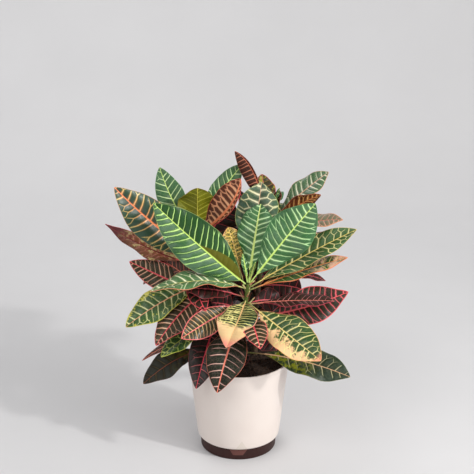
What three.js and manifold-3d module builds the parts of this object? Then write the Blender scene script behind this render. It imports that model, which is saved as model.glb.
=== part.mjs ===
// A croton in a tapered plastic pot: three leafy shoots, each leaf a waved blade on its own petiole.
// Millimetres, +Z up, origin at the centre of the pot's foot. -Y is the side that the plant shows best.
import * as THREE from 'three';
import { mergeVertices } from 'three/addons/utils/BufferGeometryUtils.js';
import Module from 'manifold-3d';

const wasm = await Module();
wasm.setup();

// Driving dimensions of the pot
const potHeight = 230;
const rimRadius = 120;
const skirtRadius = 98;
const wall = 2.5;
const baseHeight = 30;
const baseRadius = 92;
const footRadius = 90;
const footEdge = 1.5;
const skirtDrop = 3;
const lipHeight = 3;
const lipReach = 0.8;
const potSides = 48;

// Driving dimensions of the soil and of the shoots that stand in it
const soilDrop = 14;
const soilCrown = 6;
const stemFloor = 90;
const stemStart = 222;
const stemSides = 12;
const stemSteps = 12;
const stemRise = 0.6;
const budHeight = 5;
const gap = 0.3;

// Driving dimensions shared by all leaves
const petioleRadius = 1.7;
const petioleSlim = 0.85;
const bladeThickness = 1;
const tipRadius = 0.6;
const channelRise = 0.42;
const marginFall = 0.3;
const bladeSpread = 0.95;
const waveHeight = 0.07;
const wavesAlong = 2.2;
const waveOffset = 2;
const usualPeak = 1.15;

// Where each shoot stands in the soil, where it ends, and its radius at foot and top
const shoots = {
  front: { foot: [10, -16], top: [20, -40, 432], footRadius: 6.5, topRadius: 4 },
  left: { foot: [-34, 20], top: [-105, 60, 530], footRadius: 7, topRadius: 4 },
  right: { foot: [38, 30], top: [72, 60, 560], footRadius: 7, topRadius: 4 },
};

// Colour and roughness of each kind of leaf
const kinds = {
  young: ['#4c8a4a', 0.38],
  mature: ['#2f5634', 0.35],
  orange: ['#5a5a2c', 0.35],
  crimson: ['#3a2226', 0.35],
  peach: ['#d9b27a', 0.4],
  brown: ['#7d4330', 0.45],
  olive: ['#6f6c22', 0.42],
};

// The large leaves. Each row: shoot, place on it (0 at the soil, 1 at its top), tip of the blade,
// how far the midrib bows upward, blade width, roll in degrees (left edge up), bare petiole length, kind.
// Exceptions: swing bows the midrib to its left, peak moves the widest place tipward, fold deepens the channel.
const leaves = [
  ['front', 0.97, [-194, -60, 631], -5, 114, -84, 20, 'young', { peak: 1 }],
  ['front', 1, [48, 25, 602], 8, 92, 0, 22, 'young', { peak: 1.3 }],
  ['front', 0.98, [168, -60, 632], 4, 108, 92, 28, 'young', { peak: 1.3 }],
  ['front', 0.88, [50, 55, 645], 0, 110, 0, 80, 'mature', { peak: 1.3 }],
  ['front', 0.92, [266, -25, 559], 4, 75, 38, 35, 'mature', { fold: 0.6 }],
  ['front', 0.91, [-201, -110, 437], 22, 84, -4, 18, 'mature', { peak: 1 }],
  ['front', 0.78, [-130, -90, 436], 8, 64, -30, 30, 'crimson'],
  ['front', 0.72, [-131, -130, 332], 4, 66, -60, 30, 'peach', { peak: 1.2 }],
  ['front', 0.68, [217, -70, 401], 4, 62, 10, 35, 'crimson'],
  ['front', 0.5, [252, -30, 408], -12, 94, 62, 50, 'crimson', { peak: 1.3 }],
  ['front', 0.72, [182, -190, 307], 0, 100, 30, 40, 'peach'],
  ['front', 0.74, [-29, -180, 333], 10, 97, 0, 20, 'peach', { swing: 6, peak: 0.9 }],
  ['front', 0.6, [47, -170, 326], 12, 60, 0, 30, 'brown'],
  ['front', 0.5, [-49, -165, 214], 28, 97, -10, 40, 'crimson'],
  ['left', 0.3, [-98, -130, 206], 25, 78, -20, 40, 'crimson'],
  ['front', 0.1, [257, -100, 224], 12, 90, 30, 45, 'orange', { peak: 1.3 }],
  ['front', 0.3, [88, -60, 272], 20, 78, 30, 25, 'crimson'],
  ['front', 0.84, [-27, 10, 550], 5, 72, -20, 60, 'peach'],
  ['right', 0.97, [-13, 90, 709], 14, 32, -65, 25, 'brown'],
  ['right', 0.93, [51, 125, 643], 5, 56, 0, 25, 'olive'],
  ['right', 0.95, [205, 70, 666], 5, 70, 30, 25, 'mature'],
  ['right', 0.9, [184, 0, 633], 10, 50, -50, 25, 'brown'],
  ['right', 0.8, [235, -10, 576], 15, 60, 20, 40, 'brown'],
  ['front', 0.88, [246, -50, 500], 4, 58, 20, 35, 'orange'],
  ['right', 0.8, [-5, 85, 615], 5, 56, 0, 40, 'crimson'],
  ['left', 0.72, [-286, 0, 648], -15, 100, -75, 35, 'orange'],
  ['left', 0.88, [-190, 122, 659], -8, 68, -40, 45, 'young', { swing: 12 }],
  ['left', 0.96, [-98, 35, 636], 5, 96, 0, 20, 'olive', { peak: 0.95 }],
  ['left', 1, [6, 95, 677], 5, 58, 50, 20, 'mature'],
  ['left', 0.93, [1, -40, 682], 3, 58, -75, 20, 'brown'],
  ['left', 0.66, [-313, 30, 549], -16, 78, 62, 80, 'brown', { peak: 0.85 }],
  ['left', 0.4, [-262, 70, 441], -3, 68, -60, 50, 'crimson'],
  ['left', 0.56, [-262, -60, 328], 15, 82, -32, 50, 'orange', { peak: 1.25 }],
  ['left', 0.5, [-191, -90, 295], 22, 88, -12, 40, 'crimson'],
  ['left', 0.66, [-75, -110, 391], 10, 56, 0, 40, 'crimson', { swing: -26 }],
  ['left', 0.05, [-224, -60, 183], 25, 72, -25, 60, 'crimson', { peak: 1.3 }],
  ['left', 0.25, [-180, -80, 262], 15, 56, -20, 50, 'mature'],
  ['left', 0.7, [-255, 115, 466], 6, 62, -40, 50, 'peach'],
  ['left', 0.42, [-6, 10, 463], 5, 86, 75, 30, 'crimson'],
  ['front', 0.58, [-64, -20, 374], 6, 74, -70, 25, 'crimson'],
  ['left', 0.97, [-120, 190, 560], 15, 85, 0, 25, 'mature'],
  ['left', 0.84, [-22, 110, 585], 6, 96, 50, 30, 'crimson'],
  ['left', 0.74, [-235, 150, 490], 20, 90, 0, 40, 'mature'],
  ['left', 0.7, [-130, 270, 470], 30, 95, 0, 40, 'crimson'],
  ['left', 0.46, [-235, 150, 350], 35, 90, 0, 50, 'orange'],
  ['left', 0.3, [-120, 215, 270], 40, 90, 0, 50, 'crimson'],
  ['right', 0.99, [65, 215, 560], 20, 80, 0, 25, 'young'],
  ['right', 0.88, [160, 190, 540], 20, 90, 0, 30, 'mature'],
  ['right', 0.8, [50, 265, 500], 25, 95, 0, 40, 'peach'],
  ['right', 0.68, [250, 140, 470], 25, 95, 0, 40, 'crimson'],
  ['right', 0.55, [160, 255, 390], 30, 90, 0, 40, 'orange'],
  ['right', 0.4, [20, 255, 330], 35, 90, 0, 50, 'crimson'],
  ['right', 0.46, [146, 20, 394], 6, 95, 70, 20, 'crimson', { peak: 0.95 }],
  ['right', 0.15, [165, 165, 225], 35, 85, 0, 60, 'mature'],
];

// Small leaves that are one piece with their shoot, in the same rows
const sprouts = [
  ['right', 0.97, [93, 80, 618], 3, 30, 0, 15, 'brown'],
  ['right', 0.5, [206, 72, 394], 16, 32, 20, 60, 'crimson'],
  ['left', 0.12, [-229, -20, 224], 25, 24, -20, 60, 'crimson'],
  ['right', 0.2, [-26, 20, 275], 15, 55, -60, 30, 'crimson'],
  ['front', 0.68, [98, 5, 366], 8, 62, 60, 20, 'crimson'],
  ['left', 0.64, [-22, -26, 418], 6, 46, 60, 20, 'crimson'],
  ['front', 1, [36, -60, 492], 2, 16, 0, 10, 'young'],
  ['front', 1, [6, -24, 498], 2, 18, 0, 10, 'young'],
  ['left', 1, [-112, 98, 590], 3, 22, 0, 10, 'young'],
  ['left', 1, [-92, 92, 592], 3, 20, 0, 10, 'young'],
  ['right', 1, [66, 84, 620], 3, 20, 0, 10, 'young'],
  ['right', 1, [92, 66, 628], 3, 22, 0, 10, 'young'],
];

const up = new THREE.Vector3(0, 0, 1);

// A closed body through rings of points, each ring counterclockwise seen from the last ring's side.
// Past half of a ring the quads split the other way, so a thin blade has the same triangles on both faces.
function loft(rings) {
  const count = rings[0].length;
  const positions = rings.flat().flatMap((point) => point.toArray());
  const index = [];
  for (let ring = 0; ring < rings.length - 1; ring += 1) {
    for (let i = 0; i < count; i += 1) {
      const next = (i + 1) % count;
      const a = ring * count + i;
      const b = ring * count + next;
      const c = a + count;
      const d = b + count;
      if (i < count / 2) {
        index.push(a, b, d, a, d, c);
      } else {
        index.push(a, b, c, b, d, c);
      }
    }
  }
  const last = (rings.length - 1) * count;
  for (let i = 1; i < count - 1; i += 1) {
    index.push(0, i + 1, i);
    index.push(last, last + i, last + i + 1);
  }
  const geometry = new THREE.BufferGeometry();
  geometry.setAttribute('position', new THREE.Float32BufferAttribute(positions, 3));
  geometry.setIndex(index);
  return geometry;
}

// A solid for joins and cuts, and back
function toSolid(geometry) {
  const bare = geometry.clone();
  bare.deleteAttribute('normal');
  bare.deleteAttribute('uv');
  const merged = mergeVertices(bare);
  const mesh = new wasm.Mesh({
    numProp: 3,
    vertProperties: Float32Array.from(merged.attributes.position.array),
    triVerts: Uint32Array.from(merged.index.array),
  });
  return new wasm.Manifold(mesh);
}

function toGeometry(solid) {
  const mesh = solid.getMesh();
  const geometry = new THREE.BufferGeometry();
  geometry.setAttribute('position', new THREE.BufferAttribute(mesh.vertProperties, 3));
  geometry.setIndex(new THREE.BufferAttribute(mesh.triVerts, 1));
  return geometry;
}

// A profile of [radius, height] pairs, turned about Z
function lathe(profile, sides) {
  const points = profile.map(([radius, height]) => new THREE.Vector2(radius, height));
  return new THREE.LatheGeometry(points, sides).rotateX(Math.PI / 2);
}

// Radius of the shell's outside at a height
function shellRadius(height) {
  const share = (height - baseHeight) / (potHeight - baseHeight);
  return skirtRadius + (rimRadius - skirtRadius) * share;
}

// The cream shell: a straight tapered wall with a slightly proud lip, and a floor above its skirt
function shellGeometry() {
  const floorUnder = baseHeight + skirtDrop;
  const floorTop = floorUnder + wall;
  const lipUnder = potHeight - lipHeight;
  return lathe([
    [0, floorUnder],
    [shellRadius(floorUnder) - wall, floorUnder],
    [skirtRadius - wall, baseHeight],
    [skirtRadius, baseHeight],
    [shellRadius(lipUnder), lipUnder],
    [rimRadius + lipReach, lipUnder + lipReach],
    [rimRadius + lipReach, potHeight - lipReach],
    [rimRadius, potHeight],
    [rimRadius - wall, potHeight],
    [shellRadius(floorTop) - wall, floorTop],
    [0, floorTop],
  ], potSides);
}

// The brown base: an open dish that the shell's floor covers
function baseGeometry() {
  const top = baseHeight + skirtDrop - gap;
  return lathe([
    [0, 0],
    [footRadius - footEdge, 0],
    [footRadius, footEdge],
    [baseRadius, top],
    [baseRadius - wall, top],
    [footRadius - wall, wall],
    [0, wall],
  ], potSides);
}

// A shoot's middle line from the soil to its top, and its radius along it
function shootLine(shoot) {
  const foot = new THREE.Vector3(...shoot.foot, stemStart);
  const top = new THREE.Vector3(...shoot.top);
  const bend = foot.clone().addScaledVector(up, (top.z - foot.z) * stemRise);
  return new THREE.QuadraticBezierCurve3(foot, bend, top);
}

function shootRadius(shoot, at) {
  return THREE.MathUtils.lerp(shoot.footRadius, shoot.topRadius, at);
}

function levelRing(middle, radius) {
  const ring = [];
  for (let i = 0; i < stemSides; i += 1) {
    const angle = (2 * Math.PI * i) / stemSides;
    const spoke = new THREE.Vector3(Math.cos(angle), Math.sin(angle), 0);
    ring.push(middle.clone().addScaledVector(spoke, radius));
  }
  return ring;
}

// A woody stem from the floor of its hole in the soil to the bud at its top
function stemGeometry(shoot) {
  const line = shootLine(shoot);
  const rings = [levelRing(new THREE.Vector3(...shoot.foot, stemFloor), shoot.footRadius)];
  for (let i = 0; i <= stemSteps; i += 1) {
    const at = i / stemSteps;
    rings.push(levelRing(line.getPoint(at), shootRadius(shoot, at)));
  }
  rings.push(levelRing(line.getPoint(1).addScaledVector(up, budHeight), shoot.topRadius / 2));
  return loft(rings);
}

// The filling of the pot, low crowned, with a plain hole for each stem
function soilGeometry() {
  const floor = baseHeight + skirtDrop + wall + gap;
  const top = potHeight - soilDrop;
  const inner = (height) => shellRadius(height) - wall - gap;
  let solid = toSolid(lathe([
    [0, floor],
    [inner(floor), floor],
    [inner(top), top],
    [inner(top) * 0.7, top + soilCrown * 0.6],
    [inner(top) * 0.35, top + soilCrown],
    [0, top + soilCrown],
  ], potSides));
  for (const shoot of Object.values(shoots)) {
    const low = new THREE.Vector3(...shoot.foot, stemFloor - gap);
    const high = new THREE.Vector3(...shoot.foot, potHeight);
    const radius = shoot.footRadius + gap;
    solid = solid.subtract(toSolid(loft([levelRing(low, radius), levelRing(high, radius)])));
  }
  return toGeometry(solid);
}

// A row of the tables as a leaf with named values
function readLeaf([shootName, at, tip, lift, width, roll, petiole, kind, exceptions = {}]) {
  const usual = { swing: 0, peak: usualPeak, fold: channelRise };
  return { shootName, at, tip, lift, width, roll, petiole, kind, ...usual, ...exceptions };
}

// Where a leaf starts, its level side direction, and the outward direction of the bark there.
// A large leaf starts the gap off the bark, and a sprout on the shoot's middle line.
function seat(leaf, isSprout) {
  const shoot = shoots[leaf.shootName];
  const line = shootLine(shoot);
  const start = line.getPoint(leaf.at);
  const heading = new THREE.Vector3(...leaf.tip).sub(start).setZ(0).normalize();
  const side = up.clone().cross(heading);
  const outward = side.clone().cross(line.getTangent(leaf.at)).normalize();
  if (!isSprout) {
    start.addScaledVector(heading, shootRadius(shoot, leaf.at)).addScaledVector(outward, gap);
  }
  return { start, side, outward };
}

// The midrib as a curve from a start to the leaf's tip
function midrib(leaf, start, side) {
  const tip = new THREE.Vector3(...leaf.tip);
  const bow = start.clone().add(tip).multiplyScalar(0.5);
  bow.addScaledVector(up, 2 * leaf.lift).addScaledVector(side, 2 * leaf.swing);
  return new THREE.QuadraticBezierCurve3(start, bow, tip);
}

// The leaf's sideways and upward directions where the midrib runs along a tangent
function sectionFrame(tangent, side, roll) {
  const level = side.clone().addScaledVector(tangent, -side.dot(tangent)).normalize();
  const normal = tangent.clone().cross(level);
  const across = level.clone().multiplyScalar(Math.cos(roll)).addScaledVector(normal, Math.sin(roll));
  const above = normal.multiplyScalar(Math.cos(roll)).addScaledVector(level, -Math.sin(roll));
  return { across, above };
}

// Share of half the blade's width at s, which runs from 0 at the blade's base to 1 at its tip
function outline(s, peak) {
  return Math.max(Math.sin(Math.PI * s ** peak), 0) ** 0.8;
}

// Height of the blade above its midrib at u, which runs from -1 at the right margin to 1 at the left
function bladeRise(leaf, s, u) {
  const shape = outline(s, leaf.peak);
  const channel = (leaf.width / 2) * shape * (leaf.fold * Math.abs(u) - marginFall * u * u);
  const phase = u > 0 ? waveOffset : 0;
  const wave = Math.sin(2 * Math.PI * wavesAlong * s + phase) * waveHeight * leaf.width * shape;
  return channel + wave * u * u;
}

// Places of the sections along a blade, and of the points across one
const fullBlade = { along: [0.08, 0.2, 0.33, 0.46, 0.59, 0.72, 0.84, 0.94], across: [1, 0.5, 0, -0.5, -1] };
const smallBlade = { along: [0.12, 0.35, 0.6, 0.85], across: [1, 0, -1] };

function leafGeometry(leaf, grid, isSprout) {
  const { start, side, outward } = seat(leaf, isSprout);
  const curve = midrib(leaf, start, side);
  const roll = THREE.MathUtils.degToRad(leaf.roll);
  const bare = leaf.petiole / start.distanceTo(curve.v2);
  const count = grid.across.length;
  const place = (t, toSide, toTop) => {
    const { across, above } = sectionFrame(curve.getTangent(t), side, roll);
    return curve.getPoint(t).addScaledVector(across, toSide).addScaledVector(above, toTop);
  };
  const roundRing = (t, radius) => {
    const angles = Array.from({ length: 2 * count }, (_, i) => (Math.PI * (i + 0.5)) / count);
    return angles.map((angle) => place(t, radius * Math.cos(angle), radius * Math.sin(angle)));
  };
  const seatRing = roundRing(0, petioleRadius).map((point) => {
    const spoke = point.sub(start).projectOnPlane(outward).setLength(petioleRadius);
    return spoke.add(start);
  });
  const bladeRing = (s) => {
    const half = (leaf.width / 2) * outline(s, leaf.peak) * bladeSpread;
    const point = (u, face) => {
      const rise = bladeRise(leaf, s, u) + (face * bladeThickness) / 2;
      return place(bare + (1 - bare) * s, u * half, rise);
    };
    return [...grid.across.map((u) => point(u, 1)), ...grid.across.map((u) => point(-u, -1))];
  };
  const slim = petioleRadius * petioleSlim;
  return loft([
    seatRing,
    roundRing(bare / 2, slim),
    roundRing(bare, slim),
    ...grid.along.map(bladeRing),
    roundRing(1, tipRadius),
  ]);
}

// A stem with its small leaves joined to it
function shootGeometry(name) {
  let solid = toSolid(stemGeometry(shoots[name]));
  for (const leaf of sprouts.map(readLeaf).filter((each) => each.shootName === name)) {
    solid = solid.add(toSolid(leafGeometry(leaf, smallBlade, true)));
  }
  return toGeometry(solid);
}

function part(name, geometry, color, roughness) {
  const material = new THREE.MeshStandardMaterial({ color, roughness, metalness: 0 });
  const mesh = new THREE.Mesh(geometry, material);
  mesh.name = name;
  return mesh;
}

const plant = new THREE.Group();
plant.add(part('pot_shell', shellGeometry(), '#e8dfd2', 0.45));
plant.add(part('pot_base', baseGeometry(), '#4a3330', 0.6));
plant.add(part('soil', soilGeometry(), '#2a211b', 0.95));
for (const name of Object.keys(shoots)) {
  plant.add(part(`${name}_shoot`, shootGeometry(name), '#7a6a4c', 0.8));
}

const leafCounts = {};
for (const leaf of leaves.map(readLeaf)) {
  const name = leaf.shootName;
  leafCounts[name] = (leafCounts[name] ?? 0) + 1;
  const geometry = leafGeometry(leaf, fullBlade, false);
  plant.add(part(`${name}_leaf_${leafCounts[name]}`, geometry, ...kinds[leaf.kind]));
}

export default plant;
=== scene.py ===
import bpy
import math
import random
from mathutils import Matrix, Vector, noise
from mathutils.bvhtree import BVHTree


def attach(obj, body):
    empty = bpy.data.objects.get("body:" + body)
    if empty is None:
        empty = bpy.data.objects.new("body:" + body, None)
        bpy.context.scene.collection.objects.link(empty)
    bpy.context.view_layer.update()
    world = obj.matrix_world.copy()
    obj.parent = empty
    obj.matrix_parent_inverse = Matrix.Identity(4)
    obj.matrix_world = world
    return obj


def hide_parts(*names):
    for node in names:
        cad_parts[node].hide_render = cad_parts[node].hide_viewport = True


# Potted croton, in metres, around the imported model
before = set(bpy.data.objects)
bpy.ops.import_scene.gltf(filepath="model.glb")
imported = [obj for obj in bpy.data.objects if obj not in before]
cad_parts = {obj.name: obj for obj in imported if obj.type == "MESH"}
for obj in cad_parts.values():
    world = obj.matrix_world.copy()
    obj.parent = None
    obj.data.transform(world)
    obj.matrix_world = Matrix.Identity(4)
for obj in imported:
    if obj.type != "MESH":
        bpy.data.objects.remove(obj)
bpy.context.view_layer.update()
bpy.ops.object.select_all(action="DESELECT")
print("frame loaded")

up = Vector((0, 0, 1))

# Camera

cameraSetup = {
    "place": (-0.0065, -2.792, 1.535),
    "pitch": 19.8,  # degrees below level
    "roll": 0.4,  # degrees
    "focal": 1290,  # in pixels of the picture
    "picture": 474,
    "sensor": 36,
}


def setCamera(setup):
    bpy.ops.object.camera_add()
    camera = bpy.context.object
    pitch = Matrix.Rotation(math.radians(90 - setup["pitch"]), 4, "X")
    roll = Matrix.Rotation(math.radians(setup["roll"]), 4, "Z")
    camera.matrix_world = Matrix.Translation(setup["place"]) @ pitch @ roll
    camera.data.sensor_width = setup["sensor"]
    camera.data.lens = setup["focal"] * setup["sensor"] / setup["picture"]
    bpy.context.scene.camera = camera


setCamera(cameraSetup)
bpy.context.scene.view_settings.view_transform = "Standard"
print("camera set")

# Node helpers. Colours are screen values from 0 to 255.


class Value:
    # what a node puts out; a sign between two of them, or beside a number, adds a Math node
    def __init__(self, socket):
        self.socket = socket
        self.tree = socket.id_data

    def calc(self, operation, *others):
        return output(self.tree, "ShaderNodeMath", 0, dict(enumerate((self, *others))), operation=operation)

    def __add__(self, other):
        return self.calc("ADD", other)

    def __sub__(self, other):
        return self.calc("SUBTRACT", other)

    def __rsub__(self, other):
        return self * -1.0 + other

    def __mul__(self, other):
        return self.calc("MULTIPLY", other)

    def __truediv__(self, other):
        return self.calc("DIVIDE", other)

    def __pow__(self, other):
        return self.calc("POWER", other)

    def __gt__(self, other):
        return self.calc("GREATER_THAN", other)

    def __lt__(self, other):
        return self.calc("LESS_THAN", other)

    def __abs__(self):
        return self.calc("ABSOLUTE")


def setInputs(node, inputs):
    for key, value in inputs.items():
        if isinstance(value, Value):
            node.id_data.links.new(value.socket, node.inputs[key])
        else:
            node.inputs[key].default_value = value


def addNode(tree, kind, inputs=None, **settings):
    node = tree.nodes.new(kind)
    for name, value in settings.items():
        setattr(node, name, value)
    setInputs(node, inputs or {})
    return node


def output(tree, kind, which, inputs=None, **settings):
    return Value(addNode(tree, kind, inputs, **settings).outputs[which])


def outputs(node):
    return {socket.name: Value(socket) for socket in node.outputs}


def rgb(colour):
    # a screen colour as linear light
    if isinstance(colour, Value):
        return colour
    channels = [channel / 255 for channel in colour]
    linear = [c / 12.92 if c <= 0.04045 else ((c + 0.055) / 1.055) ** 2.4 for c in channels]
    return (*linear, 1.0)


def mixColours(factor, first, second):
    inputs = {0: factor, 6: rgb(first), 7: rgb(second)}
    return output(factor.tree, "ShaderNodeMix", 2, inputs, data_type="RGBA")


def fade(value, low, high, toLow=0.0, toHigh=1.0):
    # a smooth step from toLow at low to toHigh at high
    inputs = {"Value": value, "From Min": low, "From Max": high, "To Min": toLow, "To Max": toHigh}
    return output(value.tree, "ShaderNodeMapRange", 0, inputs, interpolation_type="SMOOTHSTEP")


def attribute(tree, name):
    return output(tree, "ShaderNodeAttribute", "Fac", attribute_name=name)


def axes(vector):
    return [Value(socket) for socket in addNode(vector.tree, "ShaderNodeSeparateXYZ", {0: vector}).outputs]


def joined(x, y, z):
    return output(x.tree, "ShaderNodeCombineXYZ", 0, {"X": x, "Y": y, "Z": z})


def objectNoise(tree, scale, detail=3.0, rough=0.5, stretch=None):
    place = output(tree, "ShaderNodeTexCoord", "Object")
    if stretch:
        place = output(tree, "ShaderNodeMapping", 0, {"Vector": place, "Scale": stretch})
    inputs = {"Vector": place, "Scale": scale, "Detail": detail, "Roughness": rough}
    return output(tree, "ShaderNodeTexNoise", "Fac", inputs)


def bumpNormal(height, strength, distance):
    inputs = {"Height": height, "Strength": strength, "Distance": distance}
    return output(height.tree, "ShaderNodeBump", "Normal", inputs)


def newGroup(name, inputs, results):
    tree = bpy.data.node_groups.new(name, "ShaderNodeTree")
    for socketName in inputs:
        tree.interface.new_socket(name=socketName, in_out="INPUT", socket_type="NodeSocketFloat")
    for socketName in results:
        tree.interface.new_socket(name=socketName, in_out="OUTPUT", socket_type="NodeSocketFloat")
    return tree, outputs(addNode(tree, "NodeGroupInput")), addNode(tree, "NodeGroupOutput")


def newMaterial(name):
    material = bpy.data.materials.new(name)
    material.use_nodes = True
    return material, material.node_tree, material.node_tree.nodes["Principled BSDF"]


# Vein pattern, shared by every leaf
# A lateral vein is a line of equal phase, which slants and bends toward the tip. It may fork, and its arms
# meet the arms of its neighbours.

patternInputs = [
    "slant", "bend", "width", "reach", "fork", "spread", "forked", "wobble", "ribWidth", "edgeWidth",
]
patternResults = ["rib", "veins", "halo", "edge", "across", "away", "along", "net", "relief"]


def buildLeafPattern():
    tree, given, target = newGroup("leafPattern", patternInputs, patternResults)
    seed = attribute(tree, "leafSeed")
    fromRib = attribute(tree, "fromRib")
    outward = fromRib / attribute(tree, "leafHalf")
    leftRight, along = axes(output(tree, "ShaderNodeUVMap", 0, uv_map="leafMap"))[:2]
    across = leftRight * 2.0 - 1.0
    away = abs(across)
    side = across > 0.0

    # slow wandering of every line
    stretched = joined(leftRight * 3.0, along * 7.0, seed * 9.0)
    wander = output(tree, "ShaderNodeTexNoise", "Fac", {"Vector": stretched, "Scale": 1.3, "Detail": 2.0})
    wander = (wander - 0.5) * given["wobble"]
    swept = along - outward * given["slant"] - outward ** 2.0 * given["bend"] + wander
    phase = swept * attribute(tree, "veinCount") + (side * 0.5 + seed)

    # three random values for each vein
    index = seed.calc("MULTIPLY_ADD", 11.3, side.calc("MULTIPLY_ADD", 31.7, phase.calc("FLOOR")))
    white = output(tree, "ShaderNodeTexWhiteNoise", "Color", {"W": index}, noise_dimensions="1D")
    drawn = addNode(tree, "ShaderNodeSeparateColor", {0: white}).outputs
    first, second, third = [Value(socket) for socket in drawn]

    beside = abs(phase.calc("FRACT") - (first * 0.3 + 0.35))
    forkAt = given["fork"] + (second * 0.3 - 0.15)
    forks = third < given["forked"]
    arm = ((away - forkAt) * given["spread"]).calc("MAXIMUM", 0.0).calc("MINIMUM", 0.5) * forks
    apart = abs(beside - arm)

    width = given["width"] * (second * 0.6 + 0.7) * (away * -0.4 + 1.0)  # narrower toward the margin
    reach = given["reach"] + (first * 0.24 - 0.12)
    strength = (second * 0.7 + 0.62).calc("MINIMUM", 1.0)
    shown = fade(away, reach + 0.1, reach - 0.06) * strength
    narrow = width * 0.7
    veins = fade(apart, width * 1.3, narrow) * shown
    halo = fade(apart, width * 4.0, narrow) * shown

    ribWidth = given["ribWidth"] * (along.calc("MAXIMUM", 0.0) * -0.7 + 1.0)  # narrower toward the tip
    rib = fade(fromRib, ribWidth * 1.35, ribWidth * 0.65)
    edgeWidth = given["edgeWidth"] * (wander * 6.0 + 1.0)
    edge = fade(attribute(tree, "fromEdge"), edgeWidth * 1.5, edgeWidth * 0.5)

    # the finest net, between the laterals
    netPlace = {"Vector": joined(across * 5.0, phase * 2.5, seed), "Scale": 1.0}
    cells = output(tree, "ShaderNodeTexVoronoi", "Distance", netPlace, feature="DISTANCE_TO_EDGE")
    net = fade(cells, 0.09, 0.02)

    relief = fade(apart, 0.0, 0.34, 0.0, 0.8).calc("MAXIMUM", fade(away, 0.7, 1.0, 0.0, 0.8))
    relief = (relief - net * 0.1) * (1.0 - rib)

    results = [rib, veins, halo, edge, across, away, along, net, relief]
    setInputs(target, dict(zip(patternResults, results)))
    return tree


leafPattern = buildLeafPattern()

# Leaf faces
# The two colours of ground and veins run from the midrib to the margin. An upper face also names the slot
# of its leaves and the face under them, where they aren't the usual ones.

# sheen is the colour of a painted sheen on the swollen panels between the veins; panel sets how much of it is
# mixed in
usualFace = {
    "slant": 0.08, "bend": 0.03, "width": 0.055, "reach": 0.84, "fork": 0.6, "spread": 1.6, "forked": 0.5,
    "wobble": 0.02, "ribWidth": 0.0019, "edgeWidth": 0.0007, "glow": 0.22, "netShare": 0.06,
    "panel": 0.22, "sheen": (98, 128, 88), "rough": 0.36, "coat": 0.14, "gloss": 0.4, "relief": 0.45,
    "spacing": 0.0175, "petiole": (156, 164, 96), "slot": "crimson_veined_leaf", "under": "underRed",
}

# what faces of one kind share, where a face doesn't say otherwise
youngLeaf = dict(
    slot="young_leaf", under="underGreen", edge=(92, 150, 84), petiole=(206, 232, 136), panel=0.34,
    reach=0.86, spacing=0.0158, slant=0.11, fork=0.68, wobble=0.034, ribWidth=0.0026,
)
greenLeaf = dict(
    slot="mature_leaf", under="underOlive", reach=1.0, fork=0.5, spread=2.0,
)
darkLeaf = dict(
    panel=0.06, spacing=0.0145, forked=0.1, glow=0.1, rough=0.46, coat=0.04,
)
underSide = dict(
    panel=0.0, width=0.05, rough=0.5, coat=0.05,
)
brownLeaf = dict(
    slot="brown_leaf", under="underRust", reach=0.95,
)

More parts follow.
